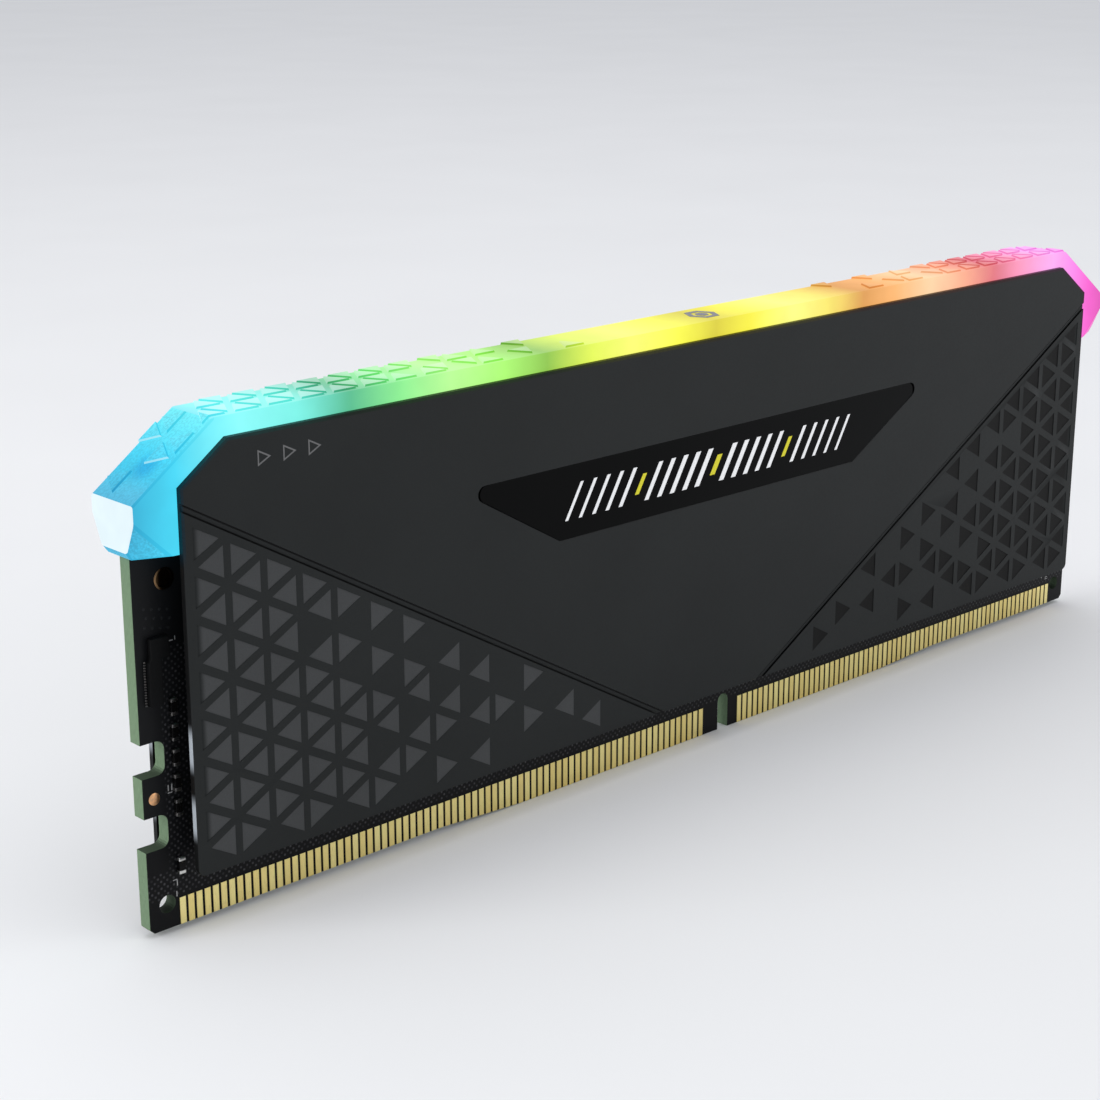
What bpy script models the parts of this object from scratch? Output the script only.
"""A desktop memory module: an edge card between two metal heat spreaders, under a lit diffuser bar.

The origin is on the card's bottom edge, at its middle.
X runs along the card, the front faces -Y, and Z is up.
"""

import math

import bmesh
import bpy
from mathutils import Vector

MM = 0.001
GAP = 0.05 * MM                     # between flat faces that touch on the real module

# Circuit board: the standard 288-contact edge card, taller than usual to carry the lamps
BOARD_LENGTH = 133.35 * MM
BOARD_THICKNESS = 1.4 * MM
BOARD_TOP = 40.0 * MM
BOARD_SHOULDER = 35.6 * MM          # where the sloping top corners start
BOARD_TOP_HALF = 60.5 * MM
BOARD_CORNER = 0.45 * MM
EDGE_STEP = 0.5 * MM                # the two ends sit this much above the middle of the edge
EDGE_LOW_LEFT = -24.2 * MM
EDGE_LOW_RIGHT = 30.2 * MM
EDGE_RAMP = 10.2 * MM
KEY_X = 4.7 * MM
KEY_WIDTH = 1.5 * MM
KEY_HEIGHT = 3.85 * MM
LATCH_NOTCHES = ((8.0 * MM, 11.0 * MM), (14.6 * MM, 17.6 * MM))
LATCH_DEPTH = 2.3 * MM
LATCH_RADIUS = 0.75 * MM
CORNER_HOLE_X = 64.8 * MM
CORNER_HOLE_Z = 2.8 * MM
CORNER_HOLE_RADIUS = 0.8 * MM
PLATED_HOLE_X = -63.5 * MM
PLATED_HOLE_Z = 31.4 * MM
PLATED_HOLE_RADIUS = 0.85 * MM

# Gold contacts, 77 left of the key and 67 right of it, on each face
CONTACT_PITCH = 0.85 * MM
CONTACT_WIDTH = 0.62 * MM
CONTACT_TOP = 3.0 * MM
CONTACT_SETBACK = 0.05 * MM
CONTACT_THICKNESS = 0.05 * MM
CONTACT_BRIDGE = 0.12 * MM          # joins the heads of the contacts of one strip
CONTACT_GROUPS = (("left", -63.325 * MM, 77), ("right", 7.225 * MM, 67))

# Heat spreaders: one formed sheet on each side
SPREADER_OUTER = 3.3 * MM
SPREADER_THICKNESS = 0.55 * MM
SPREADER_HALF = 63.25 * MM
SPREADER_TOP_HALF = 58.5 * MM
SPREADER_BOTTOM = 5.6 * MM
SPREADER_SHOULDER = 39.35 * MM
SPREADER_TOP = 42.8 * MM
SPREADER_CORNER = 0.7 * MM
SPREADER_EDGE = 0.18 * MM
GROOVE_WIDTH = 0.63 * MM
GROOVE_DEPTH = 0.25 * MM
GROOVE_BOTTOM_X = 7.5 * MM
SLANT = math.radians(30)            # of the grooves and of the badge's ends

# Badge: a thin plate let into each spreader
BADGE_BOTTOM = 26.5 * MM
BADGE_TOP = 33.5 * MM
BADGE_BOTTOM_HALF = 21.4 * MM
BADGE_THICKNESS = 0.17 * MM
BADGE_POCKET = 0.25 * MM
BADGE_CLEARANCE = 0.08 * MM
BADGE_TOP_RADIUS = 0.8 * MM
BADGE_BOTTOM_RADIUS = 0.4 * MM

# Light bar: a diffuser that caps the card and wraps down over both its ends
BAR_HALF_WIDTH = 2.9 * MM
BAR_FLANGE_HALF_WIDTH = 2.7 * MM    # behind the spreaders
BAR_RABBET_CLEARANCE = 0.08 * MM
BAR_TOP = 44.5 * MM
BAR_TOP_HALF = 59.5 * MM
BAR_END = 67.65 * MM
BAR_SHOULDER = 38.55 * MM
BAR_END_BOTTOM = 34.65 * MM
BAR_BOTTOM = 33.85 * MM
BAR_BOTTOM_END = 67.1 * MM
BAR_FACET_TOP = 37.2 * MM
BAR_FACET_START = 64.2 * MM
BAR_FACET_NARROW = 1.78 * MM        # half width left at the foot of the end face
BAR_LEG_INNER = 61.8 * MM
BAR_LEG_TOP = 36.4 * MM
BAR_FLANGE_HALF = 59.0 * MM
BAR_FLANGE_BOTTOM = 38.4 * MM
BAR_SLOT_CLEARANCE = 0.12 * MM
LAMP_POCKET_HALF_WIDTH = 1.9 * MM
LAMP_POCKET_TOP = 40.7 * MM
TAPE_RECESS = 0.2 * MM
TAPE_HALF = 57.0 * MM
TAPE_BOTTOM = 39.0 * MM
TAPE_TOP = 41.8 * MM
TAPE_MARGIN = 0.7 * MM              # of the recess around the tape

# Parts soldered to the front of the board: (length, height, thickness)
CHIP_SIZE = (7.5 * MM, 11.0 * MM, 1.0 * MM)
CHIP_Z = 13.6 * MM
CHIP_FIRST_X = 9.5 * MM
CHIP_PITCH = 13.4 * MM
CHIPS_PER_SIDE = 4
DECOUPLER_SIZE = (1.6 * MM, 0.8 * MM, 0.8 * MM)
DECOUPLER_Z = 22.4 * MM
EEPROM_SIZE = (3.0 * MM, 2.0 * MM, 0.75 * MM)
EEPROM_Z = 24.0 * MM
CONTROLLER_LEFT = -65.75 * MM
CONTROLLER_STEP_LEFT = -65.5 * MM
CONTROLLER_STEP_RIGHT = -64.5 * MM
CONTROLLER_RIGHT = -63.7 * MM
CONTROLLER_BOTTOM = 20.9 * MM
CONTROLLER_STEP = 24.9 * MM
CONTROLLER_TOP = 26.7 * MM
CONTROLLER_THICKNESS = 0.6 * MM
LEAD_COUNT = 17
LEAD_PITCH = 0.235 * MM
LEAD_WIDTH = 0.12 * MM
LEAD_LENGTH = 0.16 * MM
LEAD_THICKNESS = 0.12 * MM
LEAD_RAIL = 0.06 * MM               # joins the leads under the controller's edge
LAMP_SIZE = (3.0 * MM, 1.5 * MM, 0.95 * MM)
LAMP_Z = 38.9 * MM
LAMP_PITCH = 22.8 * MM
LAMP_COUNT = 6
END_RESISTOR_SIZE = (0.65 * MM, 1.5 * MM, 0.4 * MM)
END_RESISTOR_X = -63.4 * MM
COLUMN_TOP = 20.35 * MM
COLUMN_PITCH = 2.25 * MM
COLUMN_COUNT = 5
LOWEST_RESISTOR_Z = 6.05 * MM
PART_EDGE = 0.06 * MM

# Pads that carry heat from the chips, or fill the empty side
PAD_HALF = 55.0 * MM
PAD_BOTTOM = 8.0 * MM
PAD_TOP = 19.2 * MM

ARC_STEPS = 6
HOLE_STEPS = 24
CUTTER_DEPTH = 2 * MM               # of a cutter that only has to reach past a face
GROOVE_OVERRUN = 8 * MM
BEVEL_ANGLE = math.radians(50)      # edges sharper than this are bevelled
WELD_DISTANCE = 0.001 * MM

FRONT = -1
REAR = 1


def clear_scene():
    for existing in list(bpy.data.objects):
        bpy.data.objects.remove(existing, do_unlink=True)


def new_collection(name):
    collection = bpy.data.collections.new(name)
    bpy.context.scene.collection.children.link(collection)
    return collection


def material(name, colour, roughness, metallic=0.0, transmission=0.0):
    made = bpy.data.materials.new(name)
    made.use_nodes = True
    shader = made.node_tree.nodes["Principled BSDF"]
    shader.inputs["Base Color"].default_value = (*colour, 1.0)
    shader.inputs["Roughness"].default_value = roughness
    shader.inputs["Metallic"].default_value = metallic
    shader.inputs["Transmission Weight"].default_value = transmission
    made.diffuse_color = (*colour, 1.0)
    return made


def add_object(name, mesh, finish=None):
    """A new object in the module's collection, or among the cutters when it has no finish."""
    made = bpy.data.objects.new(name, mesh)
    if finish is None:
        CUTTERS.objects.link(made)
        made.hide_render = True
        made.display_type = "WIRE"
    else:
        MODULE.objects.link(made)
        made.data.materials.append(finish)
        made.parent = FRAME
    return made


def arc(centre, radius, start, end):
    """Points along an arc from one angle to another, in degrees."""
    points = []
    for step in range(ARC_STEPS + 1):
        angle = math.radians(start + (end - start) * step / ARC_STEPS)
        points.append((centre[0] + radius * math.cos(angle), centre[1] + radius * math.sin(angle)))
    return points


def rounded(corners):
    """An outline from (x, z, radius) corners, each rounded by its own radius."""
    points = []
    for index, (x, z, radius) in enumerate(corners):
        here = Vector((x, z))
        if radius == 0:
            points.append((x, z))
            continue
        before = (Vector(corners[index - 1][:2]) - here).normalized()
        after = (Vector(corners[(index + 1) % len(corners)][:2]) - here).normalized()
        half = before.angle(after) / 2
        centre = here + (before + after).normalized() * radius / math.sin(half)
        first = here + before * radius / math.tan(half) - centre
        turn = first.angle_signed(here + after * radius / math.tan(half) - centre)
        for step in range(ARC_STEPS + 1):
            angle = -turn * step / ARC_STEPS
            x_part = first.x * math.cos(angle) - first.y * math.sin(angle)
            z_part = first.x * math.sin(angle) + first.y * math.cos(angle)
            points.append((centre.x + x_part, centre.y + z_part))
    return points


def mirrored(half):
    """A whole outline from its right half, given from the bottom up."""
    return half + [(-x, z) for x, z in reversed(half)]


def circle(x, z, radius):
    angles = [2 * math.pi * step / HOLE_STEPS for step in range(HOLE_STEPS)]
    return [(x + radius * math.cos(angle), z + radius * math.sin(angle)) for angle in angles]


def plate(name, outline, y_centre, thickness, finish=None, holes=()):
    """A flat plate that stands in the XZ plane: a filled 2D curve, turned upright and made a mesh."""
    curve = bpy.data.curves.new(name, "CURVE")
    curve.dimensions = "2D"
    curve.fill_mode = "BOTH"
    curve.extrude = thickness / 2
    for loop in (outline, *holes):
        spline = curve.splines.new("POLY")
        spline.points.add(len(loop) - 1)
        for point, (x, z) in zip(spline.points, loop):
            point.co = (x, z, 0.0, 1.0)
        spline.use_cyclic_u = True
    guide = bpy.data.objects.new(name + "_curve", curve)
    CUTTERS.objects.link(guide)
    bpy.context.view_layer.update()
    mesh = bpy.data.meshes.new_from_object(guide.evaluated_get(bpy.context.evaluated_depsgraph_get()))
    bpy.data.objects.remove(guide, do_unlink=True)
    mesh.name = name
    work = bmesh.new()
    work.from_mesh(mesh)
    bmesh.ops.remove_doubles(work, verts=work.verts, dist=WELD_DISTANCE)
    bmesh.ops.recalc_face_normals(work, faces=work.faces)
    work.to_mesh(mesh)
    work.free()
    made = add_object(name, mesh, finish)
    made.rotation_euler = (math.radians(90), 0, 0)
    made.location = (0, y_centre, 0)
    return made


def block(name, size, centre, finish=None, edge=0.0):
    """A box of (length, height, thickness) along X, Z and Y, with bevelled edges where edge is given."""
    mesh = bpy.data.meshes.new(name)
    work = bmesh.new()
    bmesh.ops.create_cube(work, size=1.0)
    bmesh.ops.scale(work, verts=work.verts, vec=(size[0], size[2], size[1]))
    work.to_mesh(mesh)
    work.free()
    made = add_object(name, mesh, finish)
    made.location = centre
    if edge:
        bevel_edges(made, edge, 1)
    return made


def bevel_edges(target, width, segments):
    bevel = target.modifiers.new("edge", "BEVEL")
    bevel.width = width
    bevel.segments = segments
    bevel.limit_method = "ANGLE"
    bevel.angle_limit = BEVEL_ANGLE


def combine(target, tool, operation="DIFFERENCE"):
    boolean = target.modifiers.new(operation.lower() + "_" + tool.name, "BOOLEAN")
    boolean.operation = operation
    boolean.solver = "EXACT"
    boolean.object = tool


def edge_height(x):
    """Height of the card's bottom edge: low in the middle, with a ramp up to each end."""
    beyond = max(EDGE_LOW_LEFT - x, x - EDGE_LOW_RIGHT, 0.0)
    return EDGE_STEP * min(beyond / EDGE_RAMP, 1.0)


def board_end():
    """The right end of the board, from its bottom corner up to the top edge."""
    half = BOARD_LENGTH / 2
    floor = half - LATCH_DEPTH
    points = [(half - BOARD_CORNER, EDGE_STEP), (half, EDGE_STEP + BOARD_CORNER)]
    for low, high in LATCH_NOTCHES:
        x = floor + LATCH_RADIUS
        points.append((half, low))
        points += arc((x, low + LATCH_RADIUS), LATCH_RADIUS, 270, 180)
        points += arc((x, high - LATCH_RADIUS), LATCH_RADIUS, 180, 90)
        points.append((half, high))
    points += [(half, BOARD_SHOULDER), (BOARD_TOP_HALF, BOARD_TOP)]
    return points


def build_board():
    key_top = KEY_HEIGHT - KEY_WIDTH / 2
    bottom = [
        (EDGE_LOW_LEFT - EDGE_RAMP, EDGE_STEP),
        (EDGE_LOW_LEFT, 0.0),
        (KEY_X - KEY_WIDTH / 2, 0.0),
        *arc((KEY_X, key_top), KEY_WIDTH / 2, 180, 0),
        (KEY_X + KEY_WIDTH / 2, 0.0),
        (EDGE_LOW_RIGHT, 0.0),
        (EDGE_LOW_RIGHT + EDGE_RAMP, EDGE_STEP),
    ]
    right = board_end()
    left = [(-x, z) for x, z in reversed(right)]
    finish = material("solder_mask", (0.02, 0.022, 0.024), 0.45)
    holes = [circle(hand * CORNER_HOLE_X, CORNER_HOLE_Z, CORNER_HOLE_RADIUS) for hand in (-1, 1)]
    holes.append(circle(PLATED_HOLE_X, PLATED_HOLE_Z, PLATED_HOLE_RADIUS))
    plate("circuit_board", bottom + right + left, 0.0, BOARD_THICKNESS, finish, holes)


def build_contacts():
    """Each strip is a comb: its teeth are the contacts, and a thin bridge joins their heads."""
    finish = material("gold", (0.83, 0.62, 0.24), 0.28, metallic=1.0)
    y_centre = BOARD_THICKNESS / 2 + GAP / 2 + CONTACT_THICKNESS / 2
    for group, first_x, count in CONTACT_GROUPS:
        outline = []
        for index in range(count):
            left = first_x + index * CONTACT_PITCH - CONTACT_WIDTH / 2
            right = left + CONTACT_WIDTH
            outline.append((left, CONTACT_TOP))
            outline.append((left, edge_height(left) + CONTACT_SETBACK))
            outline.append((right, edge_height(right) + CONTACT_SETBACK))
            outline.append((right, CONTACT_TOP))
        last = outline[-1][0]
        outline[-1] = (last, CONTACT_TOP + CONTACT_BRIDGE)
        outline[0] = (outline[0][0], CONTACT_TOP + CONTACT_BRIDGE)
        for face, side in (("front", FRONT), ("rear", REAR)):
            name = "contacts_" + face + "_" + group
            plate(name, outline, side * y_centre, CONTACT_THICKNESS, finish)


def spreader_outline(grow):
    """The spreader's outline, offset outwards by grow."""
    slope = math.atan2(SPREADER_TOP - SPREADER_SHOULDER, SPREADER_HALF - SPREADER_TOP_HALF)
    half = SPREADER_HALF + grow
    top_half = SPREADER_TOP_HALF + grow * math.tan(slope / 2)
    bottom = SPREADER_BOTTOM - grow
    shoulder = SPREADER_SHOULDER + grow * math.tan((math.pi / 2 - slope) / 2)
    top = SPREADER_TOP + grow
    return rounded(
        [
            (half, bottom, SPREADER_CORNER),
            (half, shoulder, 0),
            (top_half, top, 0),
            (-top_half, top, 0),
            (-half, shoulder, 0),
            (-half, bottom, SPREADER_CORNER),
        ]
    )


def badge_outline(grow):
    """The badge's trapezoid, offset outwards by grow."""
    top_half = BADGE_BOTTOM_HALF + (BADGE_TOP - BADGE_BOTTOM) / math.tan(SLANT)
    flat_shift = grow * math.tan(SLANT / 2)
    sharp_shift = grow / math.tan(SLANT / 2)
    bottom = BADGE_BOTTOM - grow
    top = BADGE_TOP + grow
    low = BADGE_BOTTOM_HALF + flat_shift
    high = top_half + sharp_shift
    return rounded(
        [
            (low, bottom, BADGE_BOTTOM_RADIUS),
            (high, top, BADGE_TOP_RADIUS),
            (-high, top, BADGE_TOP_RADIUS),
            (-low, bottom, BADGE_BOTTOM_RADIUS),
        ]
    )


def groove_cutter(name, hand, side):
    """A long bar that leaves a flat-floored groove from the bottom edge up to one end."""
    run = (SPREADER_HALF - GROOVE_BOTTOM_X) / math.cos(SLANT) + GROOVE_OVERRUN
    height = (SPREADER_HALF - GROOVE_BOTTOM_X) * math.tan(SLANT)
    middle_x = (SPREADER_HALF + GROOVE_BOTTOM_X) / 2
    floor = SPREADER_OUTER - GROOVE_DEPTH
    centre = (hand * middle_x, side * (floor + CUTTER_DEPTH / 2), SPREADER_BOTTOM + height / 2)
    bar = block(name, (run, GROOVE_WIDTH, CUTTER_DEPTH), centre)
    bar.rotation_euler = (0, -hand * SLANT, 0)
    return bar


def build_spreader(face, side):
    """A heat spreader with two slanting grooves and the badge let into its pocket."""
    finish = material("painted_" + face, (0.033, 0.036, 0.038), 0.5, metallic=0.3)
    middle = side * (SPREADER_OUTER - SPREADER_THICKNESS / 2)
    sheet = plate("heat_spreader_" + face, spreader_outline(0.0), middle, SPREADER_THICKNESS, finish)
    bevel_edges(sheet, SPREADER_EDGE, 2)
    for hand in (-1, 1):
        name = "groove_" + face + "_" + ("left" if hand < 0 else "right")
        combine(sheet, groove_cutter(name, hand, side))
    pocket_y = side * (SPREADER_OUTER - BADGE_POCKET + CUTTER_DEPTH / 2)
    combine(sheet, plate("pocket_" + face, badge_outline(BADGE_CLEARANCE), pocket_y, CUTTER_DEPTH))
    gloss = material("badge_" + face, (0.008, 0.008, 0.009), 0.12)
    badge_y = side * (SPREADER_OUTER - BADGE_POCKET + GAP + BADGE_THICKNESS / 2)
    plate("badge_" + face, badge_outline(0.0), badge_y, BADGE_THICKNESS, gloss)


def cut_facets(bar):
    """Slices the four slanting facets off the feet of the bar's two ends."""
    work = bmesh.new()
    work.from_mesh(bar.data)
    for hand in (-1, 1):
        for side in (-1, 1):
            corner = Vector((hand * BAR_END, BAR_FACET_TOP, side * BAR_HALF_WIDTH))
            foot = Vector((hand * BAR_FACET_START, BAR_BOTTOM, side * BAR_HALF_WIDTH))
            inner = Vector((hand * BAR_END, BAR_END_BOTTOM, side * BAR_FACET_NARROW))
            normal = (foot - corner).cross(inner - corner).normalized()
            if normal.x * hand < 0:
                normal.negate()
            everything = list(work.verts) + list(work.edges) + list(work.faces)
            cut = bmesh.ops.bisect_plane(
                work, geom=everything, plane_co=corner, plane_no=normal, clear_outer=True
            )
            rim = [part for part in cut["geom_cut"] if isinstance(part, bmesh.types.BMEdge)]
            bmesh.ops.holes_fill(work, edges=rim)
    bmesh.ops.recalc_face_normals(work, faces=work.faces)
    work.to_mesh(bar.data)
    work.free()


def build_light_bar():
    half = [
        (BAR_FLANGE_HALF, BAR_FLANGE_BOTTOM),
        (BAR_LEG_INNER, BAR_LEG_TOP),
        (BAR_LEG_INNER, BAR_BOTTOM),
        (BAR_BOTTOM_END, BAR_BOTTOM),
        (BAR_END, BAR_END_BOTTOM),
        (BAR_END, BAR_SHOULDER),
        (BAR_TOP_HALF, BAR_TOP),
    ]
    finish = material("diffuser", (0.75, 0.85, 0.9), 0.4, transmission=0.5)
    bar = plate("light_bar", mirrored(half), 0.0, 2 * BAR_HALF_WIDTH, finish)
    cut_facets(bar)

    below = BAR_BOTTOM - CUTTER_DEPTH
    slot_half = BOARD_LENGTH / 2 + BAR_SLOT_CLEARANCE
    slot = [
        (slot_half, below),
        (slot_half, BOARD_SHOULDER + BAR_SLOT_CLEARANCE),
        (BOARD_TOP_HALF + BAR_SLOT_CLEARANCE, BOARD_TOP + BAR_SLOT_CLEARANCE),
    ]
    slot_width = BOARD_THICKNESS + 2 * BAR_SLOT_CLEARANCE
    combine(bar, plate("board_slot", mirrored(slot), 0.0, slot_width))
    pocket_height = LAMP_POCKET_TOP - below
    pocket_size = (2 * BAR_FLANGE_HALF, pocket_height, 2 * LAMP_POCKET_HALF_WIDTH)
    combine(bar, block("lamp_pocket", pocket_size, (0, 0, below + pocket_height / 2)))
    for face, side in (("front", FRONT), ("rear", REAR)):
        rabbet_y = side * (BAR_FLANGE_HALF_WIDTH + CUTTER_DEPTH / 2)
        rabbet = spreader_outline(BAR_RABBET_CLEARANCE)
        combine(bar, plate("rabbet_" + face, rabbet, rabbet_y, CUTTER_DEPTH))
    build_tapes(bar)


def build_tapes(bar):
    """A strip of adhesive tape holds each spreader to the bar, in a shallow recess."""
    finish = material("adhesive", (0.8, 0.8, 0.76), 0.7)
    height = TAPE_TOP - TAPE_BOTTOM
    z = (TAPE_TOP + TAPE_BOTTOM) / 2
    tape_thickness = TAPE_RECESS - GAP
    recess_size = (2 * (TAPE_HALF + TAPE_MARGIN), height + 2 * TAPE_MARGIN, CUTTER_DEPTH)
    for face, side in (("front", FRONT), ("rear", REAR)):
        recess_y = side * (BAR_FLANGE_HALF_WIDTH - TAPE_RECESS + CUTTER_DEPTH / 2)
        combine(bar, block("tape_recess_" + face, recess_size, (0, recess_y, z)))
        tape_y = side * (BAR_FLANGE_HALF_WIDTH - tape_thickness / 2)
        block("adhesive_tape_" + face, (2 * TAPE_HALF, height, tape_thickness), (0, tape_y, z), finish)


def on_board(name, size, x, z, finish):
    """A part soldered to the front of the board."""
    y = FRONT * (BOARD_THICKNESS / 2 + GAP + size[2] / 2)
    return block(name, size, (x, y, z), finish, PART_EDGE)


def build_chips():
    black = material("chip_black", (0.03, 0.03, 0.032), 0.55)
    ceramic = material("ceramic", (0.42, 0.3, 0.2), 0.5)
    number = 0
    for hand in (-1, 1):
        for index in range(CHIPS_PER_SIDE):
            number += 1
            x = hand * (CHIP_FIRST_X + index * CHIP_PITCH)
            on_board("memory_chip_" + str(number), CHIP_SIZE, x, CHIP_Z, black)
            on_board("decoupler_" + str(number), DECOUPLER_SIZE, x, DECOUPLER_Z, ceramic)
    on_board("identity_eeprom", EEPROM_SIZE, 0.0, EEPROM_Z, black)


def build_controller():
    """The lamp controller: a stepped moulded body, and its lead frame along the left side."""
    black = material("controller_black", (0.03, 0.03, 0.032), 0.5)
    tin = material("tin", (0.62, 0.62, 0.6), 0.35, metallic=1.0)
    outline = [
        (CONTROLLER_LEFT, CONTROLLER_BOTTOM),
        (CONTROLLER_STEP_RIGHT, CONTROLLER_BOTTOM),
        (CONTROLLER_STEP_RIGHT, CONTROLLER_STEP),
        (CONTROLLER_RIGHT, CONTROLLER_STEP),
        (CONTROLLER_RIGHT, CONTROLLER_TOP),
        (CONTROLLER_STEP_LEFT, CONTROLLER_TOP),
        (CONTROLLER_STEP_LEFT, CONTROLLER_STEP),
        (CONTROLLER_LEFT, CONTROLLER_STEP - (CONTROLLER_STEP_LEFT - CONTROLLER_LEFT)),
    ]
    face = BOARD_THICKNESS / 2 + GAP
    plate("lamp_controller", outline, FRONT * (face + CONTROLLER_THICKNESS / 2), CONTROLLER_THICKNESS, black)
    right = CONTROLLER_LEFT - GAP
    left = right - LEAD_LENGTH
    top = CONTROLLER_BOTTOM + (LEAD_COUNT - 1) * LEAD_PITCH + LEAD_WIDTH
    comb = [(right, top), (right, CONTROLLER_BOTTOM)]
    for index in range(LEAD_COUNT):
        low = CONTROLLER_BOTTOM + index * LEAD_PITCH
        high = low + LEAD_WIDTH
        comb += [(left, low), (left, high)]
        if index < LEAD_COUNT - 1:
            comb += [(right - LEAD_RAIL, high), (right - LEAD_RAIL, low + LEAD_PITCH)]
    plate("controller_leads", comb, FRONT * (face + LEAD_THICKNESS / 2), LEAD_THICKNESS, tin)


def build_lamps():
    finish = material("lamp", (0.9, 0.9, 0.86), 0.35)
    for index in range(LAMP_COUNT):
        x = (index - (LAMP_COUNT - 1) / 2) * LAMP_PITCH
        on_board("lamp_" + str(index + 1), LAMP_SIZE, x, LAMP_Z, finish)


def build_column():
    """The column of small resistors on the bare strip at the left end."""
    finish = material("chip_part", (0.06, 0.05, 0.05), 0.45)
    heights = [COLUMN_TOP - index * COLUMN_PITCH for index in range(COLUMN_COUNT)]
    heights.append(LOWEST_RESISTOR_Z)
    for index, z in enumerate(heights):
        on_board("end_resistor_" + str(index + 1), END_RESISTOR_SIZE, END_RESISTOR_X, z, finish)


def build_pads():
    """A pad carries heat from the chips to the front spreader, and a thicker one fills the rear."""
    pad = material("thermal_pad", (0.5, 0.52, 0.55), 0.85)
    foam = material("foam", (0.06, 0.06, 0.06), 0.95)
    inner = SPREADER_OUTER - SPREADER_THICKNESS - GAP
    chip_top = BOARD_THICKNESS / 2 + GAP + CHIP_SIZE[2] + GAP
    board_face = BOARD_THICKNESS / 2 + GAP
    height = PAD_TOP - PAD_BOTTOM
    z = (PAD_TOP + PAD_BOTTOM) / 2
    pads = (("thermal_pad_front", FRONT, chip_top, pad), ("foam_pad_rear", REAR, board_face, foam))
    for name, side, start, finish in pads:
        y = side * (start + inner) / 2
        block(name, (2 * PAD_HALF, height, inner - start), (0, y, z), finish)


clear_scene()
MODULE = new_collection("memory_module")
CUTTERS = new_collection("cutters")
CUTTERS.hide_render = True
FRAME = bpy.data.objects.new("module_frame", None)
MODULE.objects.link(FRAME)

build_board()
build_contacts()
build_chips()
build_controller()
build_lamps()
build_column()
build_pads()
build_spreader("front", FRONT)
build_spreader("rear", REAR)
build_light_bar()
